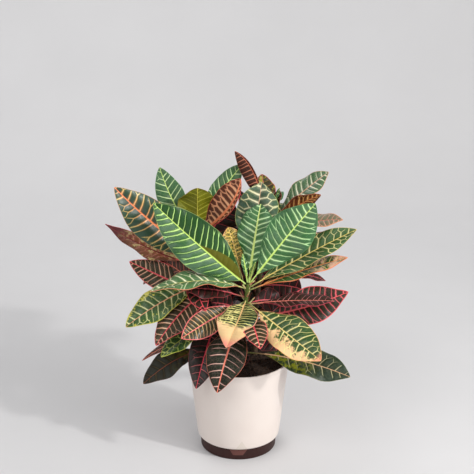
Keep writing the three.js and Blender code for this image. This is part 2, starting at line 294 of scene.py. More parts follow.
faces = {
    "lime": dict(
        youngLeaf, ground=((34, 100, 28), (26, 88, 32)), veins=((222, 253, 184), (194, 241, 174)),
        rib=(212, 244, 128), sheen=(112, 152, 118), width=0.085, spread=1.3, forked=0.45, glow=0.26,
    ),
    "upright": dict(
        youngLeaf, ground=((22, 104, 20), (16, 94, 26)), veins=((228, 255, 196), (202, 250, 186)),
        rib=(234, 255, 150), sheen=(112, 158, 116), width=0.125, spread=1.2, forked=0.4, ribWidth=0.0034,
        glow=0.2,
    ),
    "limeFolded": dict(
        youngLeaf, ground=((26, 94, 4), (14, 72, 4)), veins=((216, 251, 148), (192, 240, 146)),
        rib=(210, 240, 118), edge=(150, 176, 104), sheen=(124, 152, 134), panel=0.4, width=0.068,
        reach=0.88, spacing=0.0172, slant=0.13, fork=0.74, spread=0.9, forked=0.6, wobble=0.03,
        ribWidth=0.0021, glow=0.26, coat=0.06, gloss=0.3,
        # painted shade on one half of the blade, and a greyer painted sheen
        paintedShadeHalf=dict(side=1, colour=(12, 66, 0), share=0.75),
        strip=dict(side=1, until=0.5, widen=2.4, colour=(104, 104, 16)),
    ),
    "deepLime": dict(
        slot="young_leaf", under="underGreen", ground=((32, 94, 40), (30, 88, 46)),
        veins=((226, 248, 178), (208, 236, 178)), rib=(206, 234, 128), edge=(120, 160, 110),
        petiole=(176, 206, 120), panel=0.35, width=0.06, reach=0.92, spacing=0.0155, slant=0.12,
        forked=0.15, glow=0.2, rough=0.45, coat=0.05,
    ),
    "cream": dict(
        greenLeaf, under="underGreen", ground=((26, 60, 24), (44, 86, 40)),
        veins=((252, 246, 208), (236, 236, 178)), rib=(240, 200, 160), edge=(190, 198, 116),
        sheen=(112, 142, 126), panel=0.45, width=0.11, reach=0.94, spacing=0.0185, forked=0.75,
    ),
    "looped": dict(
        greenLeaf, ground=((34, 80, 24), (42, 94, 32)), veins=((246, 236, 170), (226, 220, 148)),
        rib=(244, 222, 128), edge=(214, 184, 112), panel=0.3, width=0.065, spacing=0.021, slant=0.1,
        fork=0.45, forked=0.85,
    ),
    "greyGreen": dict(
        greenLeaf, under="underRed", ground=((38, 92, 26), (66, 120, 56)),
        veins=((250, 250, 208), (224, 236, 194)), rib=(224, 220, 136), edge=(236, 146, 110),
        sheen=(124, 156, 122), panel=0.4, width=0.09, reach=0.92, spacing=0.019, slant=0.1, fork=0.45,
        forked=0.7, edgeWidth=0.0013,
    ),
    "orange": dict(
        slot="orange_veined_leaf", ground=((26, 52, 34), (32, 72, 44)),
        veins=((252, 168, 112), (236, 216, 134)), rib=(252, 144, 92), edge=(206, 146, 96),
        petiole=(220, 160, 100), sheen=(96, 122, 112), panel=0.3, width=0.075, reach=0.95, spacing=0.0185,
        slant=0.065, fork=0.62, spread=1.5, forked=0.6, wobble=0.012, ribWidth=0.0034, netShare=0.02,
        coat=0.06, relief=0.36,
    ),
    "sunsetEdge": dict(
        slot="orange_veined_leaf", under="underOlive", ground=((26, 72, 20), (42, 86, 20)),
        veins=((236, 222, 148), (226, 200, 128)), rib=(248, 154, 96), edge=(246, 138, 88), spacing=0.016,
        fork=0.5, forked=0.6, ribWidth=0.0026, edgeWidth=0.0016,
        blotch=dict(colour=(226, 178, 150), low=0.5, high=0.66, margin=0.1, scale=50, end=(0.5, 0.75)),
    ),
    "goldMargin": dict(
        greenLeaf, slot="orange_veined_leaf", ground=((30, 76, 8), (40, 86, 12)),
        veins=((232, 232, 174), (220, 222, 144)), rib=(240, 170, 128), edge=(208, 200, 84), panel=0.24,
        width=0.065, spacing=0.0165, forked=0.7, edgeWidth=0.0014,
        blotch=dict(colour=(212, 204, 80), low=0.78, high=0.9, margin=0.34, lean=0.05, scale=90),
    ),
    "limeLoops": dict(
        greenLeaf, ground=((28, 70, 20), (38, 86, 22)), veins=((206, 226, 132), (214, 226, 112)),
        rib=(196, 206, 100), edge=(204, 212, 84), width=0.07, spacing=0.015, fork=0.4, forked=0.9,
        edgeWidth=0.0012,
    ),
    "mottled": dict(
        slot="orange_veined_leaf", ground=((22, 44, 6), (22, 48, 14)),
        veins=((210, 194, 150), (156, 170, 136)), rib=(238, 190, 148), edge=(126, 122, 70),
        sheen=(112, 128, 122), panel=0.14, width=0.04, reach=0.7, spacing=0.022, slant=0.1, forked=0.2,
        blotch=dict(colour=(134, 140, 34), low=0.42, high=0.58, scale=76, end=(0.7, 0.4)),
    ),
    "pink": dict(
        darkLeaf, ground=((24, 28, 18), (34, 26, 20)), veins=((246, 96, 104), (234, 116, 104)),
        rib=(248, 94, 106), edge=(238, 82, 94), petiole=(190, 134, 108), panel=0.1, width=0.06, reach=1.0,
        slant=0.1, fork=0.7, forked=0.4, ribWidth=0.0026, edgeWidth=0.0013, glow=0.15, rough=0.42,
        coat=0.06, gloss=0.3,
    ),
    "pinkCream": dict(
        darkLeaf, ground=((52, 37, 8), (46, 39, 12)), veins=((254, 212, 172), (250, 172, 146)),
        rib=(248, 98, 106), edge=(240, 96, 100), petiole=(196, 126, 100), panel=0.08, width=0.09, reach=1.0,
        spacing=0.0125, slant=0.1, fork=0.75, spread=1.4, forked=0.3, ribWidth=0.003, edgeWidth=0.0014,
        glow=0.12,
    ),
    "maroon": dict(
        darkLeaf, ground=((40, 15, 16), (48, 17, 18)), veins=((184, 66, 74), (150, 56, 56)),
        rib=(212, 90, 96), edge=(166, 60, 66), petiole=(154, 98, 78), panel=0.05, width=0.04,
        spacing=0.0155, forked=0.2, coat=0.03, gloss=0.28,
    ),
    "roseLines": dict(
        darkLeaf, ground=((44, 15, 14), (54, 18, 18)), veins=((238, 156, 150), (216, 124, 120)),
        rib=(248, 140, 122), edge=(208, 70, 92), petiole=(194, 164, 116), width=0.04, reach=0.95,
        spacing=0.014, slant=0.07, bend=0.05, rough=0.36, coat=0.14,
    ),
    "salmon": dict(
        darkLeaf, ground=((18, 20, 6), (22, 22, 8)), veins=((238, 202, 188), (214, 150, 134)),
        rib=(248, 140, 116), edge=(210, 112, 88), petiole=(214, 144, 116), width=0.05, reach=0.86,
        slant=0.06, bend=0.05, forked=0.0, ribWidth=0.0034, gloss=0.25,
    ),
    "blackRed": dict(
        darkLeaf, ground=((22, 15, 14), (28, 15, 16)), veins=((232, 122, 122), (160, 80, 76)),
        rib=(238, 66, 88), edge=(126, 44, 54), petiole=(174, 64, 72), panel=0.04, width=0.042, reach=0.75,
        ribWidth=0.0022, glow=0.06, rough=0.44, coat=0.05,
    ),
    "black": dict(
        ground=((34, 28, 14), (40, 32, 16)), veins=((86, 76, 44), (72, 60, 40)), rib=(146, 84, 62),
        edge=(98, 62, 48), petiole=(124, 88, 52), sheen=(92, 104, 100), panel=0.2, width=0.05, forked=0.1,
        glow=0.1, rough=0.55, coat=0.0, gloss=0.25,
        blotch=dict(colour=(98, 92, 34), low=0.46, high=0.6, scale=26, end=(0.6, 0.3)),
    ),
    "peachHeart": dict(
        slot="peach_leaf", under="underOlive", ground=((34, 74, 34), (26, 66, 38)),
        veins=((250, 236, 150), (236, 234, 146)), rib=(250, 200, 138), edge=(250, 174, 140),
        petiole=(214, 206, 130), panel=0.05, width=0.14, reach=0.95, spacing=0.0072, slant=0.03, bend=0.02,
        forked=0.0, wobble=0.07, edgeWidth=0.0014, glow=0.1,
        blotch=dict(colour=(242, 230, 150), low=0.5, high=0.64, lean=0.3, scale=80),
        fadeTo=dict(colour=(250, 212, 156), between=(0.57, 0.66)),
        tint=dict(colour=(248, 136, 128), between=(0.78, 1.0)),
        dashes=dict(colour=(30, 44, 12), between=(0.4, 0.62), scale=170),
    ),
    "peachHalf": dict(
        greenLeaf, slot="peach_leaf", ground=((22, 68, 8), (30, 78, 14)),
        veins=((246, 238, 168), (242, 232, 146)), rib=(246, 220, 138), edge=(246, 184, 124), width=0.065,
        spacing=0.017, slant=0.1, forked=0.8, edgeWidth=0.0011,
        blotch=dict(colour=(250, 204, 150), low=0.63, high=0.78, margin=0.14, lean=0.28, scale=56),
        tint=dict(colour=(248, 150, 124), between=(0.9, 1.0)),
    ),
    "banded": dict(
        slot="peach_leaf", ground=((50, 48, 18), (60, 50, 22)), veins=((226, 200, 126), (240, 164, 128)),
        rib=(248, 120, 116), edge=(246, 118, 116), panel=0.05, width=0.08, reach=1.0, spacing=0.0095,
        slant=0.07, forked=0.2, ribWidth=0.0024, edgeWidth=0.002,
    ),
    "yellow": dict(
        greenLeaf, slot="peach_leaf", ground=((70, 84, 24), (92, 78, 26)),
        veins=((246, 212, 104), (240, 190, 96)), rib=(248, 204, 122), edge=(240, 174, 104), panel=0.0,
        width=0.1, spacing=0.0095, fork=0.4, forked=0.8, wobble=0.07, edgeWidth=0.002, glow=0.3,
        netShare=0.75, rough=0.42, coat=0.08,
    ),
    "pinkBold": dict(
        ground=((26, 34, 22), (34, 30, 22)), veins=((242, 94, 110), (242, 120, 118)), rib=(246, 106, 108),
        edge=(242, 90, 102), petiole=(190, 134, 108), panel=0.1, width=0.1, reach=1.05, spacing=0.0145,
        slant=0.07, fork=0.78, spread=1.4, forked=0.3, ribWidth=0.0026, edgeWidth=0.0018, glow=0.12,
    ),
    "creamStraight": dict(
        greenLeaf, ground=((42, 90, 34), (50, 98, 40)), veins=((253, 250, 222), (242, 244, 204)),
        rib=(244, 192, 158), edge=(224, 158, 118), sheen=(120, 150, 124), panel=0.3, width=0.085,
        reach=0.92, spacing=0.014, fork=0.7, spread=1.6, forked=0.15,
    ),
    "darkBronze": dict(
        brownLeaf, under="underBrick", ground=((62, 27, 14), (56, 24, 14)),
        veins=((206, 136, 106), (176, 102, 78)), rib=(210, 118, 90), edge=(124, 58, 42), panel=0.0,
        width=0.06, spacing=0.011, slant=0.02, bend=0.0, forked=0.1, rough=0.6, coat=0.0, gloss=0.2,
        relief=0.2,
    ),
    "shaded": dict(
        darkLeaf, ground=((28, 13, 14), (34, 15, 16)), veins=((120, 50, 54), (90, 42, 42)),
        rib=(156, 72, 72), edge=(100, 42, 46), petiole=(134, 90, 68), panel=0.03, width=0.04, forked=0.2,
        glow=0.08, rough=0.5, coat=0.0,
    ),
    "bronze": dict(
        brownLeaf, ground=((74, 34, 20), (64, 34, 20)), veins=((232, 134, 104), (214, 110, 84)),
        rib=(236, 126, 100), edge=(182, 80, 60), panel=0.05, width=0.05, spacing=0.0135, slant=0.12,
        forked=0.2,
    ),
    "faded": dict(
        brownLeaf, under="underBrick", ground=((128, 134, 104), (160, 132, 108)),
        veins=((228, 158, 134), (236, 186, 160)), rib=(232, 138, 118), edge=(236, 158, 112), width=0.075,
        reach=1.0, spacing=0.013, edgeWidth=0.0014,
    ),
    # the olive face is the leaf's own olive, made brighter as painted light shining through the leaf from
    # behind, on both its sides
    "olive": dict(
        underSide, slot="olive_leaf", under="olive", ground=((128, 128, 14), (112, 116, 12)),
        veins=((212, 208, 84), (190, 190, 66)), rib=(222, 214, 86), edge=(150, 122, 40), width=0.045,
        reach=0.95, spacing=0.0125, slant=0.2, fork=0.7, forked=0.25, rough=0.48,
    ),
    "darkOlive": dict(
        slot="olive_leaf", under="underOlive", ground=((50, 54, 16), (58, 46, 18)),
        veins=((152, 136, 58), (160, 100, 68)), rib=(212, 118, 102), edge=(202, 92, 90), panel=0.0,
        width=0.05, forked=0.3, edgeWidth=0.0014,
        blotch=dict(colour=(150, 144, 40), low=0.54, high=0.62, scale=70),
    ),
    "underGreen": dict(
        underSide, ground=((88, 118, 50), (74, 106, 46)), veins=((182, 200, 104), (148, 174, 88)),
        rib=(202, 212, 122), edge=(126, 154, 78), panel=0.05, width=0.045,
    ),
    "underBrick": dict(
        underSide, ground=((100, 38, 8), (88, 32, 10)), veins=((252, 190, 144), (244, 164, 122)),
        rib=(246, 146, 100), edge=(226, 84, 70), petiole=(200, 110, 80), width=0.22, reach=0.9,
        spacing=0.0185, slant=0.0, bend=0.0, spread=2.6, forked=1.0, ribWidth=0.0036, glow=0.1, rough=0.48,
    ),
    "underRust": dict(
        underSide, ground=((112, 46, 10), (88, 36, 12)), veins=((244, 190, 112), (228, 158, 96)),
        rib=(228, 140, 86), edge=(176, 76, 54), width=0.14, spacing=0.0125, slant=0.16, forked=0.6,
        rough=0.48,
    ),
    "underMottled": dict(
        underSide, ground=((152, 82, 42), (122, 74, 42)), veins=((206, 128, 108), (170, 104, 86)),
        rib=(150, 62, 60), edge=(150, 70, 70), width=0.09, reach=1.0, spacing=0.012, fork=0.3, spread=2.4,
        forked=0.9, wobble=0.06,
        blotch=dict(colour=(214, 196, 128), low=0.5, high=0.58, lean=-0.1, scale=76),
        tint=dict(colour=(104, 40, 42), between=(0.62, 0.85)),
    ),
    "underRed": dict(
        underSide, ground=((84, 32, 26), (68, 34, 24)), veins=((172, 80, 64), (146, 78, 58)),
        rib=(200, 84, 78), edge=(174, 60, 60),
    ),
    "underOlive": dict(
        underSide, ground=((98, 90, 28), (86, 80, 28)), veins=((178, 158, 74), (154, 134, 62)),
        rib=(196, 164, 88), edge=(146, 110, 60),
    ),
}

faces = {name: {**usualFace, **changes} for name, changes in faces.items()}


def addBlotches(tree, ground, mask, blotch):
    # patches of another colour, more of them toward the margin or to one side, fading out along the leaf
    patches = mask["away"] * blotch.get("margin", 0.0) + objectNoise(tree, blotch["scale"], 3.0, 0.6)
    patches = mask["across"] * blotch.get("lean", 0.0) + patches
    patches = fade(patches, blotch["low"], blotch["high"])
    if "end" in blotch:
        patches *= fade(mask["along"], *blotch["end"])
    return mixColours(patches, ground, blotch["colour"])


def addStrip(colour, mask, strip):
    # a plain strip beside the midrib on one side, wide at the base and gone at the place until
    aside = mask["across"] * strip["side"]
    limit = mask["along"] * -strip["widen"] + strip["widen"] * strip["until"]
    within = fade(limit - aside, 0.0, 0.05) * (aside > 0.0)
    return mixColours(within, colour, strip["colour"])


leafFinish = {
    "speckle": 260,  # scales of the fine and the broad noise
    "cloud": 34,
    "shade": (10, 22, 18),
    "shadeShare": 0.35,
    "petioleFade": (-0.3, 0.04),  # where the petiole's colour turns into the midrib's, along the blade
    "reliefHeight": 0.0012,
    "coatRough": 0.2,
}


def leafFace(name, face):
    material, tree, shader = newMaterial(name)
    pattern = addNode(tree, "ShaderNodeGroup", node_tree=leafPattern)
    setInputs(pattern, {key: face[key] for key in patternInputs})
    mask = outputs(pattern)
    speckle = objectNoise(tree, leafFinish["speckle"])
    broad = objectNoise(tree, leafFinish["cloud"], 2.0)
    veinColour = mixColours(mask["away"], *face["veins"])

    ground = mixColours(mask["away"], *face["ground"])
    ground = mixColours(fade(broad, 0.35, 0.75, 0.0, leafFinish["shadeShare"]), ground, leafFinish["shade"])
    # painted sheen: the ground turns toward the face's sheen colour on the swollen panels between the veins
    paintedSheen = mask["relief"] * fade(broad, 0.3, 0.7, face["panel"] * 0.5, face["panel"] * 1.4)
    ground = mixColours(paintedSheen, ground, face["sheen"])
    ground = mixColours(mask["halo"] * face["glow"], ground, veinColour)
    ground = mixColours(mask["net"] * face["netShare"], ground, veinColour)
    # painted shade: one half of the blade is darkened, as that half of the folded leaf turns away from the
    # light
    if "paintedShadeHalf" in face:
        half = face["paintedShadeHalf"]
        halfShade = fade(mask["across"] * half["side"], 0.0, 0.02, 0.0, half["share"])
        ground = mixColours(halfShade, ground, half["colour"])
    if "blotch" in face:
        ground = addBlotches(tree, ground, mask, face["blotch"])

    colour = mixColours(mask["veins"], ground, veinColour)
    if "dashes" in face:
        dashes = face["dashes"]
        breaks = fade(objectNoise(tree, dashes["scale"], 2.0), 0.42, 0.5)
        colour = mixColours(fade(mask["relief"], *dashes["between"]) * breaks, colour, dashes["colour"])
    if "fadeTo" in face:
        faded = face["fadeTo"]
        reached = (broad - 0.5) * 0.25 + mask["along"]
        colour = mixColours(fade(reached, *faded["between"]), colour, faded["colour"])
    if "tint" in face:
        tint = face["tint"]
        colour = mixColours(fade(mask["along"], *tint["between"]), colour, tint["colour"])
    if "strip" in face:
        colour = addStrip(colour, mask, face["strip"])
    colour = mixColours(mask["edge"], colour, face["edge"])
    ribColour = mixColours(fade(mask["along"], *leafFinish["petioleFade"]), face["petiole"], face["rib"])
    setInputs(shader, {
        "Base Color": mixColours(mask["rib"], colour, ribColour),
        "Roughness": fade(speckle, 0.3, 0.7, face["rough"] - 0.05, face["rough"] + 0.07),
        "Normal": bumpNormal(speckle * 0.12 + mask["relief"], face["relief"], leafFinish["reliefHeight"]),
        "Coat Weight": face["coat"],
        "Coat Roughness": leafFinish["coatRough"],
        "Specular IOR Level": face["gloss"],
    })
    return material


leafMaterials = {name: leafFace(name, face) for name, face in faces.items()}
print("leaf materials made:", len(leafMaterials))

# Shoots, as curves from the soil to the top

shoots = {
    "front": {"foot": (0.01, -0.016, 0.222), "top": (0.02, -0.04, 0.432), "radii": (0.0065, 0.004)},
    "left": {"foot": (-0.034, 0.02, 0.222), "top": (-0.105, 0.06, 0.53), "radii": (0.007, 0.004)},
    "right": {"foot": (0.038, 0.03, 0.222), "top": (0.072, 0.06, 0.56), "radii": (0.007, 0.004)},
}


def curvePoint(curve, t):
    start, bow, end = curve
    return start * (1 - t) ** 2 + bow * 2 * t * (1 - t) + end * t * t


def curveTangent(curve, t):
    start, bow, end = curve
    return ((bow - start) * (1 - t) + (end - bow) * t).normalized()


def shootCurve(shoot):
    foot = Vector(shoot["foot"])
    top = Vector(shoot["top"])
    return foot, foot + up * (top.z - foot.z) * 0.6, top


def shootRadius(shoot, t):
    low, high = shoot["radii"]
    return low + (high - low) * t


# Leaves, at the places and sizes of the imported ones
# Each row: shoot, place on it, tip, lift of the midrib, width, roll in degrees, bare petiole, upper face,
# exceptions.

leafShape = {
    "fullCells": (72, 20),  # along and across
    "smallCells": (36, 12),
    "thickness": 0.0008,
    "spread": 0.95,
    "fold": 0.42,
    "fall": 0.3,
    "wave": 0.07,
    "wavesAlong": 2.2,
    "waveOffset": 2,
    "peak": 1.15,
    "quilt": 0.0009,
    "raggedEdge": 0.02,
    "raggedScale": 14,
    "tailFrom": 0.55,  # share of the blade where a drawn-out tip starts to narrow
    "tailFade": 0.35,
    "petioleRadius": 0.0017,
    "petioleTaper": 0.15,
    "ribTaper": 0.82,
    "ribSunk": 0.75,  # of its radius, under the blade
    "seatFlare": 0.35,
    "flareFade": 0.02,
    "seatDepth": 0.0015,
    "ribEnd": 0.97,
    "tubeSides": 10,
    "tubeRings": 44,
}

largeLeaves = [
    ("front", 0.97, (-0.194, -0.06, 0.631), -0.005, 0.114, -84, 0.02, "limeFolded", {"peak": 1.0}),
    ("front", 1.0, (0.048, 0.025, 0.602), 0.008, 0.092, 0, 0.022,
     "upright", {"peak": 1.3, "spacing": 0.0135}),
    ("front", 0.98, (0.168, -0.06, 0.632), 0.004, 0.108, 92, 0.028,
     "lime", {"peak": 1.3, "spacing": 0.015}),
    ("front", 0.88, (0.05, 0.055, 0.645), 0, 0.11, 0, 0.08, "cream", {"peak": 1.3, "under": "underOlive"}),
    ("front", 0.92, (0.266, -0.025, 0.559), 0.004, 0.075, 38, 0.035, "looped", {"fold": 0.6}),
    ("front", 0.91, (-0.201, -0.11, 0.437), 0.022, 0.084, -4, 0.018, "greyGreen", {"peak": 1.0}),
    ("front", 0.78, (-0.13, -0.09, 0.436), 0.008, 0.064, -30, 0.03, "maroon"),
    ("front", 0.72, (-0.131, -0.13, 0.332), 0.004, 0.066, -60, 0.03, "banded", {"peak": 1.2}),
    ("front", 0.68, (0.217, -0.07, 0.401), 0.004, 0.062, 10, 0.035, "roseLines"),
    ("front", 0.5, (0.252, -0.03, 0.408), -0.012, 0.094, 62, 0.05,
     "pinkBold", {"peak": 1.3, "drawnOut": 0.3}),
    ("front", 0.72, (0.182, -0.19, 0.307), 0, 0.1, 30, 0.04, "peachHalf"),
    ("front", 0.74, (-0.029, -0.18, 0.333), 0.01, 0.097, 0, 0.02,
     "peachHeart", {"swing": 0.006, "peak": 0.9, "notch": (1, 0.64, 0.5, 0.07)}),
    ("front", 0.6, (0.047, -0.17, 0.326), 0.012, 0.06, 0, 0.03, "pinkCream", {"slot": "brown_leaf"}),
    ("front", 0.5, (-0.049, -0.165, 0.214), 0.028, 0.097, -10, 0.04, "salmon"),
    ("left", 0.3, (-0.098, -0.13, 0.206), 0.025, 0.078, -20, 0.04, "blackRed"),
    ("front", 0.1, (0.257, -0.1, 0.224), 0.012, 0.09, 30, 0.045, "mottled", {"peak": 1.3}),
    ("front", 0.3, (0.088, -0.06, 0.272), 0.02, 0.078, 30, 0.025, "maroon"),
    ("front", 0.84, (-0.027, 0.01, 0.55), 0.005, 0.072, -20, 0.06, "yellow"),
    ("right", 0.97, (-0.013, 0.09, 0.709), 0.014, 0.032, -65, 0.025, "darkBronze", {"ribShift": -0.7}),
    ("right", 0.93, (0.051, 0.125, 0.643), 0.005, 0.056, 0, 0.025, "darkOlive"),
    ("right", 0.95, (0.205, 0.07, 0.666), 0.005, 0.07, 30, 0.025, "creamStraight"),
    ("right", 0.9, (0.184, 0, 0.633), 0.01, 0.05, -50, 0.025, "bronze"),
    ("right", 0.8, (0.235, -0.01, 0.576), 0.015, 0.06, 20, 0.04, "faded"),
    ("front", 0.88, (0.246, -0.05, 0.5), 0.004, 0.058, 20, 0.035, "sunsetEdge"),
    ("right", 0.8, (-0.005, 0.085, 0.615), 0.005, 0.056, 0, 0.04, "pink"),
    ("left", 0.72, (-0.286, 0, 0.648), -0.015, 0.1, -75, 0.035, "orange"),
    ("left", 0.88, (-0.19, 0.122, 0.659), -0.008, 0.068, -40, 0.045, "deepLime", {"swing": 0.012}),
    ("left", 0.96, (-0.098, 0.035, 0.636), 0.005, 0.096, 0, 0.02, "olive", {"peak": 0.95}),
    ("left", 1.0, (0.006, 0.095, 0.677), 0.005, 0.058, 50, 0.02, "deepLime", {"slot": "mature_leaf"}),
    ("left", 0.93, (0.001, -0.04, 0.682), 0.003, 0.058, -75, 0.02,
     "pink", {"ribShift": 0.6, "slot": "brown_leaf", "under": "underBrick"}),
    ("left", 0.66, (-0.313, 0.03, 0.549), -0.016, 0.078, 62, 0.08,
     "pink", {"peak": 0.85, "drawnOut": 0.5, "slot": "brown_leaf", "under": "underMottled"}),
    ("left", 0.4, (-0.262, 0.07, 0.441), -0.003, 0.068, -60, 0.05, "pinkCream"),
    ("left", 0.56, (-0.262, -0.06, 0.328), 0.015, 0.082, -32, 0.05, "goldMargin", {"peak": 1.25}),
    ("left", 0.5, (-0.191, -0.09, 0.295), 0.022, 0.088, -12, 0.04, "pinkCream"),
    ("left", 0.66, (-0.075, -0.11, 0.391), 0.01, 0.056, 0, 0.04, "pink", {"swing": -0.026}),
    ("left", 0.05, (-0.224, -0.06, 0.183), 0.025, 0.072, -25, 0.06, "black", {"peak": 1.3}),
    ("left", 0.25, (-0.18, -0.08, 0.262), 0.015, 0.056, -20, 0.05, "limeLoops"),
    ("left", 0.7, (-0.255, 0.115, 0.466), 0.006, 0.062, -40, 0.05, "yellow"),
    ("left", 0.42, (-0.006, 0.01, 0.463), 0.005, 0.086, 75, 0.03, "maroon"),
    ("front", 0.58, (-0.064, -0.02, 0.374), 0.006, 0.074, -70, 0.025, "maroon"),
    ("left", 0.97, (-0.12, 0.19, 0.56), 0.015, 0.085, 0, 0.025, "cream"),
    ("left", 0.84, (-0.022, 0.11, 0.585), 0.006, 0.096, 50, 0.03, "maroon"),
    ("left", 0.74, (-0.235, 0.15, 0.49), 0.02, 0.09, 0, 0.04, "looped"),
    ("left", 0.7, (-0.13, 0.27, 0.47), 0.03, 0.095, 0, 0.04, "pink"),
    ("left", 0.46, (-0.235, 0.15, 0.35), 0.035, 0.09, 0, 0.05, "orange"),
    ("left", 0.3, (-0.12, 0.215, 0.27), 0.04, 0.09, 0, 0.05, "salmon"),
    ("right", 0.99, (0.065, 0.215, 0.56), 0.02, 0.08, 0, 0.025, "lime"),
    ("right", 0.88, (0.16, 0.19, 0.54), 0.02, 0.09, 0, 0.03, "looped", {"under": "underGreen"}),
    ("right", 0.8, (0.05, 0.265, 0.5), 0.025, 0.095, 0, 0.04, "peachHalf"),
    ("right", 0.68, (0.25, 0.14, 0.47), 0.025, 0.095, 0, 0.04, "pinkCream"),
    ("right", 0.55, (0.16, 0.255, 0.39), 0.03, 0.09, 0, 0.04, "orange"),
    ("right", 0.4, (0.02, 0.255, 0.33), 0.035, 0.09, 0, 0.05, "salmon"),
    ("right", 0.46, (0.146, 0.02, 0.394), 0.006, 0.095, 70, 0.02, "maroon", {"peak": 0.95}),
    ("right", 0.15, (0.165, 0.165, 0.225), 0.035, 0.085, 0, 0.06, "goldMargin", {"slot": "mature_leaf"}),
]

sprouts = [
    ("right", 0.97, (0.093, 0.08, 0.618), 0.003, 0.03, 0, 0.015, "bronze", {"under": "underRed"}),
    ("right", 0.5, (0.206, 0.072, 0.394), 0.016, 0.032, 20, 0.06, "maroon"),
    ("left", 0.12, (-0.229, -0.02, 0.224), 0.025, 0.024, -20, 0.06,
     "bronze", {"slot": "crimson_veined_leaf"}),
    ("right", 0.2, (-0.026, 0.02, 0.275), 0.015, 0.055, -60, 0.03, "maroon"),
    ("front", 0.68, (0.098, 0.005, 0.366), 0.008, 0.062, 60, 0.02, "maroon"),
    ("left", 0.64, (-0.022, -0.026, 0.418), 0.006, 0.046, 60, 0.02, "maroon"),
    ("front", 1.0, (0.036, -0.06, 0.492), 0.002, 0.016, 0, 0.01, "lime"),
    ("front", 1.0, (0.006, -0.024, 0.498), 0.002, 0.018, 0, 0.01, "lime"),
    ("left", 1.0, (-0.112, 0.098, 0.59), 0.003, 0.022, 0, 0.01, "lime"),
    ("left", 1.0, (-0.092, 0.092, 0.592), 0.003, 0.02, 0, 0.01, "lime"),
    ("right", 1.0, (0.066, 0.084, 0.62), 0.003, 0.02, 0, 0.01, "lime"),
    ("right", 1.0, (0.092, 0.066, 0.628), 0.003, 0.022, 0, 0.01, "lime"),
]


def outline(s, peak):
    return max(math.sin(math.pi * s ** peak), 0) ** 0.8


def readLeaf(row):
    names = ("shoot", "at", "tip", "lift", "width", "roll", "petiole", "upper")
    leaf = {"swing": 0, "peak": leafShape["peak"], "fold": leafShape["fold"], "drawnOut": 0, "notch": None,
            "ribShift": 0}
    leaf.update(zip(names, row))
    leaf.update({key: faces[leaf["upper"]][key] for key in ("slot", "under", "spacing")})
    leaf.update(row[len(names)] if len(row) > len(names) else {})
    shoot = shoots[leaf["shoot"]]
    line = shootCurve(shoot)
    middle = curvePoint(line, leaf["at"])
    tip = Vector(leaf["tip"])
    heading = tip - middle
    heading.z = 0
    heading.normalize()
    side = up.cross(heading)
    outward = side.cross(curveTangent(line, leaf["at"])).normalized()
    start = middle + heading * shootRadius(shoot, leaf["at"]) - outward * leafShape["seatDepth"]
    bow = (start + tip) / 2 + up * 2 * leaf["lift"] + side * 2 * leaf["swing"]
    leaf["curve"] = (start, bow, tip)
    leaf["side"] = side
    leaf["bare"] = leaf["petiole"] / (tip - start).length
    leaf["length"] = (tip - start).length - leaf["petiole"]
    return leaf


def halfWidth(leaf, s, u):
    # half the blade's width, with a tip drawn out to a tail and a notch in one side where the leaf has them
    half = leaf["width"] / 2 * outline(s, leaf["peak"])
    intoTail = min(1, max(0, (s - leafShape["tailFrom"]) / leafShape["tailFade"]))
    half *= 1 - leaf["drawnOut"] * intoTail ** 1.5
    if leaf["notch"]:
        side, place, depth, length = leaf["notch"]
        if side * u > 0:
            half *= 1 - depth * math.exp(-((s - place) / length) ** 2)
    return half


def sectionAxes(leaf, t):
    tangent = curveTangent(leaf["curve"], t)
    level = (leaf["side"] - tangent * leaf["side"].dot(tangent)).normalized()
    normal = tangent.cross(level)
    roll = math.radians(leaf["roll"])
    return level * math.cos(roll) + normal * math.sin(roll), normal * math.cos(roll) - level * math.sin(roll)


def fromMidrib(leaf, u):
    # the share of the way from the midrib to the margin, where the midrib may lie toward one side
    shift = leaf["ribShift"]
    return (u - shift) / (1 - shift if u > shift else 1 + shift)


def bladeRise(leaf, s, u, veinPhase):
    # how far a point of the blade lies above the midrib: a channel, waves at the margin and swollen panels
    shape = outline(s, leaf["peak"])
    half = halfWidth(leaf, s, u)
    u = fromMidrib(leaf, u)
    channel = half * (leaf["fold"] * abs(u) - leafShape["fall"] * u * u)
    offset = leafShape["waveOffset"] if u > 0 else 0
    height = leafShape["wave"] * leaf["width"] * shape
    wave = math.sin(2 * math.pi * leafShape["wavesAlong"] * s + offset) * height
    between = 0.5 - 0.5 * math.cos(2 * math.pi * (veinPhase - 0.5))
    quilt = leafShape["quilt"] * between * min(1, 4 * (1 - abs(u))) * shape
    return channel + wave * u * u + quilt


def keepNumbers(mesh, **values):
    # a number for each vertex, under each name, which the leaf pattern reads
    for name, numbers in values.items():
        if not isinstance(numbers, list):
            numbers = [numbers] * len(mesh.vertices)
        mesh.attributes.new(name, "FLOAT", "POINT").data.foreach_set("value", numbers)


def addMaterials(mesh, leaf):
    for faceName in (leaf["upper"], leaf["under"]):
        mesh.materials.append(leafMaterials[faceName])


def addGrid(name, across, along):
    bpy.ops.mesh.primitive_grid_add(x_subdivisions=across, y_subdivisions=along, size=2, calc_uvs=True)
    piece = bpy.context.object
    piece.name = name
    piece.data.uv_layers[0].name = "leafMap"
    return piece


def mergeDoubles(threshold, faceOut):
    # closes the seams and ends of the active piece
    bpy.ops.object.mode_set(mode="EDIT")
    bpy.ops.mesh.select_all(action="SELECT")
    bpy.ops.mesh.remove_doubles(threshold=threshold)
    if faceOut:
        bpy.ops.mesh.normals_make_consistent(inside=False)
    bpy.ops.object.mode_set(mode="OBJECT")


